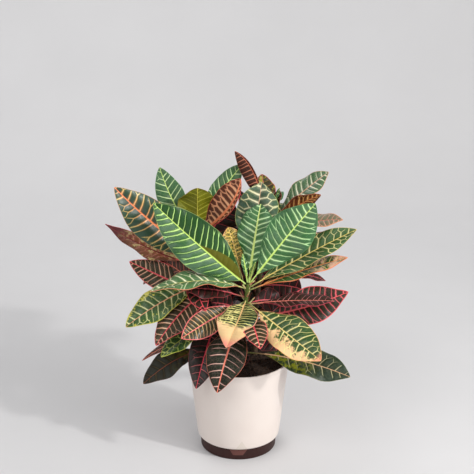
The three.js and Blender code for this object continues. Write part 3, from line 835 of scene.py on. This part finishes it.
def makeBlade(name, leaf, seed, cells):
    alongCells, acrossCells = cells
    blade = addGrid(name, acrossCells, alongCells)
    mesh = blade.data
    veinCount = max(5, round(leaf["length"] / leaf["spacing"]))
    face = faces[leaf["upper"]]
    shift = leaf["ribShift"]
    leafHalf = leaf["width"] / 2 * (1 + abs(shift))
    sections = {}
    fromRib = []
    fromEdge = []
    for vertex in mesh.vertices:
        u = -vertex.co.x
        s = (vertex.co.y + 1) / 2
        key = round(s * 1000)
        if key not in sections:
            t = leaf["bare"] + (1 - leaf["bare"]) * s
            sections[key] = (curvePoint(leaf["curve"], t), *sectionAxes(leaf, t))
        middle, across, above = sections[key]
        wander = Vector((s * leafShape["raggedScale"], seed * 5.1, u * 0.8))
        ragged = 1 + leafShape["raggedEdge"] * noise.noise(wander)
        half = halfWidth(leaf, s, u) * leafShape["spread"] * ragged
        outward = abs(u - shift) * half / leafHalf
        phase = (s - face["slant"] * outward - face["bend"] * outward ** 2) * veinCount + seed
        phase += 0.5 if vertex.co.x > 0 else 0
        vertex.co = middle + across * (u * half) + above * bladeRise(leaf, s, u, phase % 1)
        fromRib.append(abs(u - shift) * half)
        fromEdge.append((1 - abs(u)) * half)
    for corner in mesh.uv_layers[0].data:
        corner.uv.x = 0.5 - 0.5 * fromMidrib(leaf, 1 - 2 * corner.uv.x)
    keepNumbers(mesh, fromRib=fromRib, fromEdge=fromEdge)
    keepNumbers(mesh, leafHalf=leafHalf, leafSeed=seed, veinCount=veinCount)
    mergeDoubles(0.00005, False)
    addMaterials(mesh, leaf)
    wall = blade.modifiers.new("thickness", "SOLIDIFY")
    wall.thickness = leafShape["thickness"]
    wall.offset = 0
    wall.material_offset = 1
    bpy.ops.object.modifier_apply(modifier=wall.name)
    return blade


tiny = 0.00001  # radius of a closed end


def rolledTube(name, sides, rings, ringAt):
    # a grid rolled up along a path; ringAt gives the middle, two axes and the radius at a share of its length
    tube = addGrid(name, sides, rings)
    for vertex in tube.data.vertices:
        angle = math.pi * (vertex.co.x + 1)
        share = (vertex.co.y + 1) / 2
        middle, across, above, radius = ringAt(share, angle)
        vertex.co = middle + across * radius * math.cos(angle) + above * radius * math.sin(angle)
    mergeDoubles(0.00002, True)
    return tube


def makeRib(name, leaf, seed):
    # the petiole, which runs on under the blade as its raised midrib
    bare = leaf["bare"]

    def ringAt(share, angle):
        t = share * leafShape["ribEnd"]
        across, above = sectionAxes(leaf, t)
        reached = max(0, (t - bare) / (1 - bare))
        radius = leafShape["petioleRadius"] * (1 - leafShape["petioleTaper"] * min(1, t / bare))
        radius *= 1 - leafShape["ribTaper"] * reached ** 0.7
        radius *= 1 + leafShape["seatFlare"] * math.exp(-t / leafShape["flareFade"])
        if share in (0, 1):
            radius = tiny
        sunk = min(1, reached * 12) * radius * leafShape["ribSunk"]
        aside = leaf["ribShift"] * halfWidth(leaf, reached, leaf["ribShift"])
        return curvePoint(leaf["curve"], t) + across * aside - above * sunk, across, above, radius

    rib = rolledTube(name, leafShape["tubeSides"], leafShape["tubeRings"], ringAt)
    uv = rib.data.uv_layers[0].data
    for corner in uv:
        t = corner.uv.y * leafShape["ribEnd"]
        corner.uv = (0.5, (t - bare) / (1 - bare if t > bare else bare * 2))
    keepNumbers(rib.data, fromRib=0.0, fromEdge=1.0, leafHalf=1.0, leafSeed=seed, veinCount=8.0)
    addMaterials(rib.data, leaf)
    for polygon in rib.data.polygons:
        polygon.material_index = 1 if uv[polygon.loop_start].uv.y > 0.03 else 0
    return rib


def smooth(piece, angle=50):
    bpy.ops.object.select_all(action="DESELECT")
    piece.select_set(True)
    bpy.context.view_layer.objects.active = piece
    bpy.ops.object.shade_smooth_by_angle(angle=math.radians(angle))
    piece.select_set(False)


def joinPieces(pieces):
    bpy.ops.object.select_all(action="DESELECT")
    for piece in pieces:
        piece.select_set(True)
    bpy.context.view_layer.objects.active = pieces[0]
    bpy.ops.object.join()
    return pieces[0]


def finishPiece(piece, nodes):
    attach(piece, "root")
    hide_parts(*nodes)


def makeLeaf(name, row, nodeName, cells):
    leaf = readLeaf(row)
    seed = round(draw.random(), 3)
    piece = joinPieces([makeBlade(name, leaf, seed, cells), makeRib(f"{name}Rib", leaf, seed)])
    smooth(piece)
    finishPiece(piece, [nodeName])
    return piece


draw = random.Random(7)
leaves = []
leafCounts = {name: 0 for name in shoots}
for row in largeLeaves:
    shootName = row[0]
    leafCounts[shootName] += 1
    number = leafCounts[shootName]
    leafName = f"{shootName}Leaf{number}"
    leaves.append(makeLeaf(leafName, row, f"{shootName}_leaf_{number}", leafShape["fullCells"]))
print("large leaves made:", leafCounts)

for number, row in enumerate(sprouts, 1):
    leaves.append(makeLeaf(f"sprout{number}", row, f"{row[0]}_shoot", leafShape["smallCells"]))
print("small leaves made:", len(sprouts))

# Stems with ringed bark, and stubs of petioles whose leaves have dropped, in a spiral up each stem

stemShape = {
    "sides": 18,
    "rings": 110,
    "floor": 0.09,
    "scarSpacing": 0.0125,
    "scarHeight": 0.0006,
    "scarTilt": 1.2,  # how far the scars are from level
    "scarSwirl": 9,
    "topFrom": 0.985,  # share of the stem where its narrower top starts
    "topShare": 0.7,
    "grain": 420,  # scales of the bark's noises
    "streaks": 500,
    "wood": ((112, 90, 66), (74, 58, 44)),
    "woodFlecks": (150, 128, 96),
    "green": ((104, 124, 48), (66, 84, 32)),
    "greenFlecks": (160, 164, 96),
    "greenFrom": (0.58, 0.78),  # shares of the stem where the wood turns green
    "roughness": 0.0004,
}

stubShape = {
    "count": 11,
    "places": (0.36, 0.97),
    "turn": 137.5,  # degrees from one to the next
    "firstTurn": 40,
    "lengths": (0.009, 0.034),
    "radius": 0.0016,
    "flare": 1.3,
    "taper": 0.45,
    "end": 0.97,
    "bend": 0.12,
    "seatDepth": 0.0012,
    "rise": 48,  # degrees above the stem's own square
    "sides": 8,
    "rings": 8,
    "colours": ((216, 216, 150), (206, 128, 104)),
    "flecks": (126, 110, 70),
    "patchScale": 90,
    "fleckScale": 500,
}


def barkMaterial():
    material, tree, shader = newMaterial("bark")
    share = axes(output(tree, "ShaderNodeUVMap", 0, uv_map="leafMap"))[1]
    grain = objectNoise(tree, stemShape["grain"], 4.0, 0.65)
    streaks = objectNoise(tree, stemShape["streaks"], stretch=(1, 1, 0.15))
    wood = mixColours(fade(streaks, 0.35, 0.65), *stemShape["wood"])
    wood = mixColours(fade(grain, 0.62, 0.72), wood, stemShape["woodFlecks"])
    green = mixColours(fade(streaks, 0.3, 0.7), *stemShape["green"])
    green = mixColours(fade(grain, 0.6, 0.75), green, stemShape["greenFlecks"])
    setInputs(shader, {
        "Base Color": mixColours(fade(share, *stemShape["greenFrom"]), wood, green),
        "Roughness": 0.7,
        "Normal": bumpNormal(grain + streaks, 0.5, 0.0008),
    })
    return material


def stubMaterial():
    material, tree, shader = newMaterial("petioleStub")
    patches = objectNoise(tree, stubShape["patchScale"], 2.0)
    flecks = objectNoise(tree, stubShape["fleckScale"])
    colour = mixColours(fade(patches, 0.4, 0.6), *stubShape["colours"])
    colour = mixColours(fade(flecks, 0.6, 0.7), colour, stubShape["flecks"])
    setInputs(shader, {"Base Color": colour, "Roughness": 0.5, "Normal": bumpNormal(patches, 0.2, 0.0005)})
    return material


def makeStub(shoot, line, number):
    low, high = stubShape["places"]
    t = low + (high - low) * number / (stubShape["count"] - 1)
    length = draw.uniform(*stubShape["lengths"])
    around = math.radians(stubShape["turn"] * number + stubShape["firstTurn"])
    outward = Vector((math.cos(around), math.sin(around), 0))
    rise = math.radians(stubShape["rise"])
    aim = outward * math.cos(rise) + curveTangent(line, t) * math.sin(rise)
    start = curvePoint(line, t) + outward * (shootRadius(shoot, t) - stubShape["seatDepth"])
    across = up.cross(aim).normalized()

    def ringAt(share, angle):
        # thinner and bent a little upward toward its end
        thinned = stubShape["flare"] - stubShape["taper"] * share ** 0.6
        radius = tiny if share in (0, 1) else stubShape["radius"] * thinned
        raised = up * length * stubShape["bend"] * share ** 2
        middle = start + aim * length * min(share, stubShape["end"]) + raised
        return middle, across, aim.cross(across), radius

    stub = rolledTube(f"stub{number}", stubShape["sides"], stubShape["rings"], ringAt)
    stub.data.materials.append(petioleStub)
    return stub


def makeStem(name):
    shoot = shoots[name]
    line = shootCurve(shoot)
    foot = Vector(shoot["foot"])
    sunk = foot.z - stemShape["floor"]
    whole = sunk + (line[2] - line[0]).length

    def ringAt(share, angle):
        travelled = share * whole
        if travelled < sunk:
            middle = foot - up * (sunk - travelled)
            radius = shoot["radii"][0]
            tangent = up
        else:
            t = (travelled - sunk) / (whole - sunk)
            middle = curvePoint(line, t)
            radius = shootRadius(shoot, t)
            tangent = curveTangent(line, t)
        across = (Vector((1, 0, 0)) - tangent * tangent.x).normalized()
        tilt = stemShape["scarTilt"] * math.sin(angle + share * stemShape["scarSwirl"])
        scar = math.sin(2 * math.pi * travelled / stemShape["scarSpacing"] + tilt)
        radius += stemShape["scarHeight"] * max(0, scar) ** 6
        around = Vector((math.cos(angle), math.sin(angle), 0))
        radius += stemShape["roughness"] * noise.noise(middle * 160 + around * 1.5)
        if share in (0, 1):
            radius = tiny
        elif share > stemShape["topFrom"]:
            radius *= stemShape["topShare"]
        return middle, across, tangent.cross(across), radius

    stem = rolledTube(f"{name}Stem", stemShape["sides"], stemShape["rings"], ringAt)
    stem.data.materials.append(bark)
    stubs = [makeStub(shoot, line, number) for number in range(stubShape["count"])]
    stem = joinPieces([stem, *stubs])
    smooth(stem)
    finishPiece(stem, [f"{name}_shoot"])
    return stem


bark = barkMaterial()
petioleStub = stubMaterial()
stems = [makeStem(shootName) for shootName in shoots]
print("stems made")

# Leaves in the shaded middle of the plant
# The first is listed in innerChosen. The others are drawn at random, and each is kept where it is clear of
# what is there and hardly hides the leaves that show from the front. The last are aimed at the gaps that stay
# open.

innerShape = {
    "wanted": 44,
    "tries": 1500,
    "lengths": (0.08, 0.15),
    "widthShare": (0.38, 0.5),
    "places": (0.06, 0.9),
    "rise": (-0.4, 0.45),
    "roll": (-35, 35),
    "petiole": (0.016, 0.03),
    "lift": 0.012,
    "reach": 0.2,
    "lowest": 0.235,
    "clear": 0.006,
    "hidden": 0.08,  # share of a leaf that may lie in front of those in sight
    "cells": (32, 10),
    "looks": ("shaded", "shaded", "shaded", "maroon", "blackRed", "black"),
}

# the part of the picture, in pixels, where nothing behind the plant shows, and how leaves are aimed there
heartShape = {
    "ellipses": ((222, 266, 62, 48), (172, 260, 24, 10)),  # middle and half sizes
    "tries": 60000,
    "depths": (-0.1, 0.2),  # in front of and behind the plant's middle
    "past": (1.15, 2.2),  # length of the leaf, as a share of the way to the spot
    "lengths": (0.03, 0.2),
    "roll": (-80, 80),
    "reach": 0.215,
    "clear": 0.002,
    "hidden": 0.05,
}

innerChosen = [
    ("left", 0.34, (-0.191, 0.073, 0.448), 0.012, 0.054, -75, 0.03, "bronze"),
]


def surfaceTree(pieces):
    vertices = []
    polygons = []
    for piece in pieces:
        first = len(vertices)
        vertices += [vertex.co.copy() for vertex in piece.data.vertices]
        polygons += [[first + index for index in polygon.vertices] for polygon in piece.data.polygons]
    return BVHTree.FromPolygons(vertices, polygons)


def innerRow(name, at, tip, width, roll):
    return (name, at, tuple(tip), innerShape["lift"], width, draw.uniform(*roll),
            draw.uniform(*innerShape["petiole"]), draw.choice(innerShape["looks"]))


def drawInnerRow():
    name = draw.choice(list(shoots))
    at = draw.uniform(*innerShape["places"])
    heading = draw.uniform(0, 2 * math.pi)
    length = draw.uniform(*innerShape["lengths"])
    rise = draw.uniform(*innerShape["rise"])
    middle = curvePoint(shootCurve(shoots[name]), at)
    tip = middle + Vector((math.cos(heading), math.sin(heading), rise)).normalized() * length
    return innerRow(name, at, tip, length * draw.uniform(*innerShape["widthShare"]), innerShape["roll"])


def drawFillingRow(sight, eye):
    depth = draw.uniform(*heartShape["depths"])
    spot = eye + sight * (depth - eye.y) / sight.y
    name = draw.choice(list(shoots))
    at = draw.uniform(*innerShape["places"])
    middle = curvePoint(shootCurve(shoots[name]), at)
    tip = middle + (spot - middle) * draw.uniform(*heartShape["past"])
    width = (tip - middle).length * draw.uniform(*innerShape["widthShare"])
    return innerRow(name, at, tip, width, heartShape["roll"])


def sightLine(x, y):
    camera = bpy.context.scene.camera
    middle = cameraSetup["picture"] / 2
    aim = Vector((x - middle, middle - y, -cameraSetup["focal"]))
    return (camera.matrix_world.to_3x3() @ aim).normalized()


def openSpots(trees, eye):
    # sight lines in the heart of the picture that miss every leaf
    spots = []
    for x, y, halfWide, halfHigh in heartShape["ellipses"]:
        for right in range(-halfWide, halfWide + 1):
            for down in range(-halfHigh, halfHigh + 1):
                sight = sightLine(x + right, y + down)
                inside = (right / halfWide) ** 2 + (down / halfHigh) ** 2 < 1
                if inside and not any(tree.ray_cast(eye, sight)[0] for tree in trees):
                    spots.append(sight)
    return spots


def samplePoints(leaf):
    points = [curvePoint(leaf["curve"], leaf["bare"] * share) for share in (0.5, 0.75, 1)]
    for step in range(1, 11):
        t = leaf["bare"] + (1 - leaf["bare"]) * step / 10
        across = sectionAxes(leaf, t)[0]
        half = halfWidth(leaf, step / 10, 1)
        points += [curvePoint(leaf["curve"], t) + across * half * u for u in (-1, -0.5, 0, 0.5, 1)]
    return points


def fitsInside(leaf, trees, eye, limits):
    # trees: what stays in sight, the other outer leaves, then the inner leaves so far
    points = samplePoints(leaf)
    if max(math.hypot(p.x, p.y) for p in points) > limits["reach"]:
        return False
    if min(p.z for p in points) < innerShape["lowest"]:
        return False
    if any(tree.find_nearest(point, limits["clear"])[0] for point in points for tree in trees):
        return False
    hiding = 0
    for point in points:
        sight = (point - eye).normalized()
        if trees[0].ray_cast(point, -sight)[0] is None and trees[0].ray_cast(point, sight)[0]:
            hiding += 1
    return hiding <= limits["hidden"] * len(points)


def makeInnerLeaves(shown, others):
    trees = [surfaceTree(shown), surfaceTree(others)]
    eye = Vector(cameraSetup["place"])
    rows = []

    def addInner(row):
        rows.append(row)
        piece = makeLeaf(f"innerLeaf{len(rows)}", row, f"{row[0]}_shoot", innerShape["cells"])
        trees.append(surfaceTree([piece]))

    for row in innerChosen:
        addInner(row)
    for attempt in range(innerShape["tries"]):
        row = drawInnerRow()
        if len(rows) == innerShape["wanted"]:
            break
        if fitsInside(readLeaf(row), trees, eye, innerShape):
            addInner(row)
    spots = openSpots(trees, eye)
    print("open sight lines:", len(spots))
    shortest, longest = heartShape["lengths"]
    for attempt in range(heartShape["tries"]):
        if not spots:
            break
        row = drawFillingRow(draw.choice(spots), eye)
        leaf = readLeaf(row)
        if shortest < leaf["length"] < longest and fitsInside(leaf, trees, eye, heartShape):
            addInner(row)
            spots = [sight for sight in spots if not trees[-1].ray_cast(eye, sight)[0]]
    print("inner leaves made:", len(rows), "with sight lines still open:", len(spots))


plainlyShown = 38  # the table's first leaves, which the inner ones leave in sight
makeInnerLeaves(leaves[:plainlyShown] + stems, leaves[plainlyShown:])

# Pot, built by extruding a ring of edges along its profile

potShape = {
    "sides": 160,
    "height": 0.23,
    "rim": 0.12,
    "skirt": 0.098,
    "wall": 0.0025,
    "baseTop": 0.03,
    "skirtDrop": 0.003,
    "skirtCorner": 0.0055,
    "skirtBevel": 0.001,
    "lipDepth": 0.0042,
    "lipStep": 0.0036,
    "lipProud": 0.0005,
    "lipDrop": 0.0012,
    "lipRound": 0.0011,
    "baseRadius": 0.092,
    "footRadius": 0.09,
    "footCorner": 0.003,
    "seatGap": 0.0003,
    "cornerSteps": 5,
    "wallSteps": 14,
}


def shellRadius(z):
    share = (z - potShape["baseTop"]) / (potShape["height"] - potShape["baseTop"])
    return potShape["skirt"] + (potShape["rim"] - potShape["skirt"]) * share


def extrudeProfile(name, profile):
    # a circle at the first radius and height, extruded and resized to each next one
    radius, z = profile[0]
    bpy.ops.mesh.primitive_circle_add(vertices=potShape["sides"], radius=radius, location=(0, 0, z))
    piece = bpy.context.object
    piece.name = name
    bpy.ops.object.transform_apply(location=True)
    bpy.ops.object.mode_set(mode="EDIT")
    bpy.ops.mesh.select_all(action="SELECT")
    for nextRadius, nextZ in profile[1:]:
        bpy.ops.mesh.extrude_edges_move(TRANSFORM_OT_translate={"value": (0, 0, nextZ - z)})
        share = nextRadius / radius
        bpy.ops.transform.resize(value=(share, share, 1), center_override=(0, 0, nextZ))
        radius, z = nextRadius, nextZ
    mergeDoubles(0.00002, True)
    return piece


def arc(middleRadius, middleZ, size, fromAngle, toAngle):
    # points of a rounded corner in the profile's plane, angles in degrees from outward
    points = []
    steps = potShape["cornerSteps"]
    for step in range(steps + 1):
        angle = math.radians(fromAngle + (toAngle - fromAngle) * step / steps)
        points.append((middleRadius + size * math.cos(angle), middleZ + size * math.sin(angle)))
    return points


def makePotShell():
    wall = potShape["wall"]
    top = potShape["height"]
    skirt = potShape["skirt"]
    baseTop = potShape["baseTop"]
    floorUnder = baseTop + potShape["skirtDrop"]
    corner = potShape["skirtCorner"]
    profile = [(tiny, floorUnder), (shellRadius(floorUnder) - wall, floorUnder)]
    profile.append((skirt - wall - potShape["skirtBevel"], baseTop))
    profile += arc(skirt - corner, baseTop + corner, corner, -70, -6)
    for step in range(1, potShape["wallSteps"]):
        z = baseTop + corner + (top - 0.005 - baseTop - corner) * step / potShape["wallSteps"]
        profile.append((shellRadius(z), z))
    lip = shellRadius(top - 0.0035)
    lipTop = top - potShape["lipDrop"]
    profile += [(lip, top - potShape["lipDepth"]), (lip + potShape["lipProud"], top - potShape["lipStep"])]
    profile += arc(lip + 0.0002, lipTop, potShape["lipRound"], 0, 90)
    profile += arc(lip - wall + 0.0008, lipTop, potShape["lipRound"], 90, 180)
    inner = floorUnder + wall
    profile += [(shellRadius(top * 0.6) - wall, top * 0.6), (shellRadius(inner) - wall, inner), (tiny, inner)]
    finishPot(extrudeProfile("potShell", profile), creamPlastic, "pot_shell")


def makePotBase():
    wall = potShape["wall"]
    top = potShape["baseTop"] + potShape["skirtDrop"] - potShape["seatGap"]
    rim = potShape["baseRadius"]
    foot = potShape["footRadius"]
    corner = potShape["footCorner"]
    profile = [(tiny, 0), (foot - corner, 0), *arc(foot - corner, corner, corner, -80, 0)]
    profile += [(rim - 0.0002, top - 0.0006), (rim - 0.0008, top), (rim - wall, top)]
    profile += [(foot - wall, wall + 0.002), (foot - wall - 0.002, wall), (tiny, wall)]
    finishPot(extrudeProfile("potBase", profile), brownPlastic, "pot_base")


def finishPot(piece, material, node):
    piece.data.materials.append(material)
    smooth(piece, 35)
    finishPiece(piece, [node])


def frontPanel(tree, low, high):
    # a soft-edged trapezoid on the front; low and high give its height, left and right there
    x, y, z = axes(output(tree, "ShaderNodeTexCoord", "Object"))

    def border(side):
        slope = (high[side] - low[side]) / (high[0] - low[0])
        return z * slope + (low[side] - slope * low[0])

    inside = (x - border(1)).calc("MINIMUM", border(2) - x).calc("MINIMUM", z - low[0])
    return fade(inside, -0.0006, 0.0008) * (y < 0.0)


plasticNoises = {"cloud": 9, "scuffs": 130, "grain": 900}


def plasticMaterial(name, colour, shade, rough, panel):
    material, tree, shader = newMaterial(name)
    cloud = objectNoise(tree, plasticNoises["cloud"], 2.0)
    scuffs = objectNoise(tree, plasticNoises["scuffs"], 5.0, 0.7, stretch=(1, 1, 0.2))
    grain = objectNoise(tree, plasticNoises["grain"], 2.0)
    mixed = mixColours(fade(cloud, 0.3, 0.7, 0.0, 0.5), colour, shade)
    mixed = mixColours(fade(scuffs, 0.66, 0.8, 0.0, 0.35), mixed, shade)
    setInputs(shader, {
        "Base Color": mixColours(frontPanel(tree, panel["low"], panel["high"]), mixed, panel["colour"]),
        "Roughness": fade(scuffs, 0.35, 0.75, rough - 0.05, rough + 0.12),
        "Normal": bumpNormal(grain, 0.06, 0.0004),
        "Coat Weight": 0.05, "Specular IOR Level": 0.35,
    })
    return material


# on the cream shell, the faint darker trapezoid on the front is painted shade on a shallow facet
creamFacetShade = {"low": (0.03, -0.0085, 0.023), "high": (0.054, 0.008, 0.009), "colour": (228, 217, 207)}
brownPanel = {"low": (0.0125, -0.0125, 0.011), "high": (0.031, -0.0225, 0.0245), "colour": (104, 62, 56)}
creamPlastic = plasticMaterial("creamPlastic", (238, 227, 220), (231, 218, 210), 0.38, creamFacetShade)
brownPlastic = plasticMaterial("brownPlastic", (54, 18, 12), (38, 14, 11), 0.55, brownPanel)
makePotShell()
makePotBase()
print("pot made")

# Soil with a crowned, crumbly top

soilShape = {
    "top": 0.216,
    "crown": 0.006,
    "gap": 0.0005,
    "rough": 0.003,
    "lumpScale": 70,
    "steps": 40,  # rings of its top
    "crumbs": 520,
    "crumbSizes": (0.0012, 0.0042),
    "coarse": 160,  # scales of its two noises
    "fine": 700,
    "earth": ((34, 24, 18), (70, 50, 36)),
    "grit": (112, 84, 58),
}


def soilMaterial():
    material, tree, shader = newMaterial("pottingSoil")
    coarse = objectNoise(tree, soilShape["coarse"], 5.0, 0.7)
    fine = objectNoise(tree, soilShape["fine"])
    colour = mixColours(fade(coarse, 0.35, 0.65), *soilShape["earth"])
    colour = mixColours(fade(fine, 0.64, 0.74), colour, soilShape["grit"])
    relief = fine * 0.4 + coarse
    setInputs(shader, {"Base Color": colour, "Roughness": 0.95, "Normal": bumpNormal(relief, 0.9, 0.002)})
    return material


def soilHeight(x, y):
    share = math.hypot(x, y) / shellRadius(soilShape["top"])
    lumps = noise.fractal(Vector((x, y, 0)) * soilShape["lumpScale"], 0.7, 2.1, 4) * (1 - share ** 8)
    return soilShape["top"] + soilShape["crown"] * (1 - share ** 2) + soilShape["rough"] * lumps


def makeCrumb(reach):
    angle = draw.uniform(0, 2 * math.pi)
    away = reach * math.sqrt(draw.random())
    x = away * math.cos(angle)
    y = away * math.sin(angle)
    size = draw.uniform(*soilShape["crumbSizes"]) * draw.uniform(0.6, 1)
    flat = (1, draw.uniform(0.6, 1), draw.uniform(0.5, 0.9))
    turn = [draw.uniform(0, 3) for axis in range(3)]
    place = (x, y, soilHeight(x, y) + size * 0.3)
    settings = {"radius": size, "location": place, "scale": flat, "rotation": turn}
    bpy.ops.mesh.primitive_ico_sphere_add(subdivisions=1, **settings)
    return bpy.context.object


def makeSoil():
    top = soilShape["top"]
    inset = potShape["wall"] + soilShape["gap"]
    inner = shellRadius(top) - inset
    low = potShape["baseTop"] + potShape["skirtDrop"] + inset
    rings = soilShape["steps"]
    profile = [(tiny, low), (shellRadius(low) - inset, low), (inner, top - 0.002)]
    profile += [(inner * (1 - step / rings), top) for step in range(rings)] + [(tiny, top)]
    soil = extrudeProfile("soilFill", profile)
    for vertex in soil.data.vertices:
        if vertex.co.z > top - 0.001:
            vertex.co.z = soilHeight(vertex.co.x, vertex.co.y)
    soil = joinPieces([soil, *(makeCrumb(inner * 0.97) for count in range(soilShape["crumbs"]))])
    bpy.ops.object.transform_apply(location=True, rotation=True, scale=True)
    soil.data.materials.append(soilMaterial())
    smooth(soil, 40)
    finishPiece(soil, ["soil"])


makeSoil()
print("soil made")

# Floor, backdrop and lights

stageSetup = {
    "width": 16.0,
    "front": -9.0,
    "bendStart": 1.6,
    "bendRadius": 1.2,
    "wallTop": 4.0,
    "colours": ((214, 214, 216), (222, 222, 224)),
}


def makeStage():
    bpy.ops.mesh.primitive_grid_add(x_subdivisions=2, y_subdivisions=60, size=2)
    sweep = bpy.context.object
    sweep.name = "studioSweep"
    flat = stageSetup["bendStart"] - stageSetup["front"]
    radius = stageSetup["bendRadius"]
    turn = radius * math.pi / 2
    whole = flat + turn + stageSetup["wallTop"]
    for vertex in sweep.data.vertices:
        travelled = (vertex.co.y + 1) / 2 * whole
        y = stageSetup["front"] + min(travelled, flat)
        z = 0.0
        if travelled > flat:
            angle = min((travelled - flat) / radius, math.pi / 2)
            y += radius * math.sin(angle)
            z = radius * (1 - math.cos(angle)) + max(0, travelled - flat - turn)
        vertex.co = Vector((vertex.co.x * stageSetup["width"] / 2, y, z))
    material, tree, shader = newMaterial("studioFloor")
    colour = mixColours(objectNoise(tree, 3), *stageSetup["colours"])
    setInputs(shader, {"Base Color": colour, "Roughness": 0.8})
    sweep.data.materials.append(material)
    smooth(sweep)


lights = {
    "key": {"place": (2.2, -1.5, 2.1), "size": 0.2, "power": 39, "tint": (1.0, 0.98, 0.95)},
    "soft": {"place": (2.4, -1.6, 1.7), "size": 2.2, "power": 38, "tint": (1.0, 0.99, 0.97)},
    "fill": {"place": (-1.3, -2.1, 2.9), "size": 2.0, "power": 24, "tint": (1.0, 0.98, 0.96)},
    "back": {"place": (-1.2, 2.2, 2.4), "size": 2.0, "power": 18, "tint": (1.0, 1.0, 1.0)},
}
lightsAim = Vector((0, 0, 0.35))
surround = {"Color": (1.0, 0.99, 0.98, 1.0), "Strength": 0.5}


def addLight(name, light):
    bpy.ops.object.light_add(type="AREA", location=light["place"])
    lamp = bpy.context.object
    lamp.name = name
    lamp.data.shape = "DISK"
    lamp.data.size = light["size"]
    lamp.data.energy = light["power"]
    lamp.data.color = light["tint"]
    lamp.rotation_euler = (lightsAim - Vector(light["place"])).to_track_quat("-Z", "Y").to_euler()


makeStage()
for lightName, light in lights.items():
    addLight(lightName, light)
world = bpy.data.worlds.new("softSurround")
world.use_nodes = True
setInputs(world.node_tree.nodes["Background"], surround)
bpy.context.scene.world = world
print("stage and lights set")
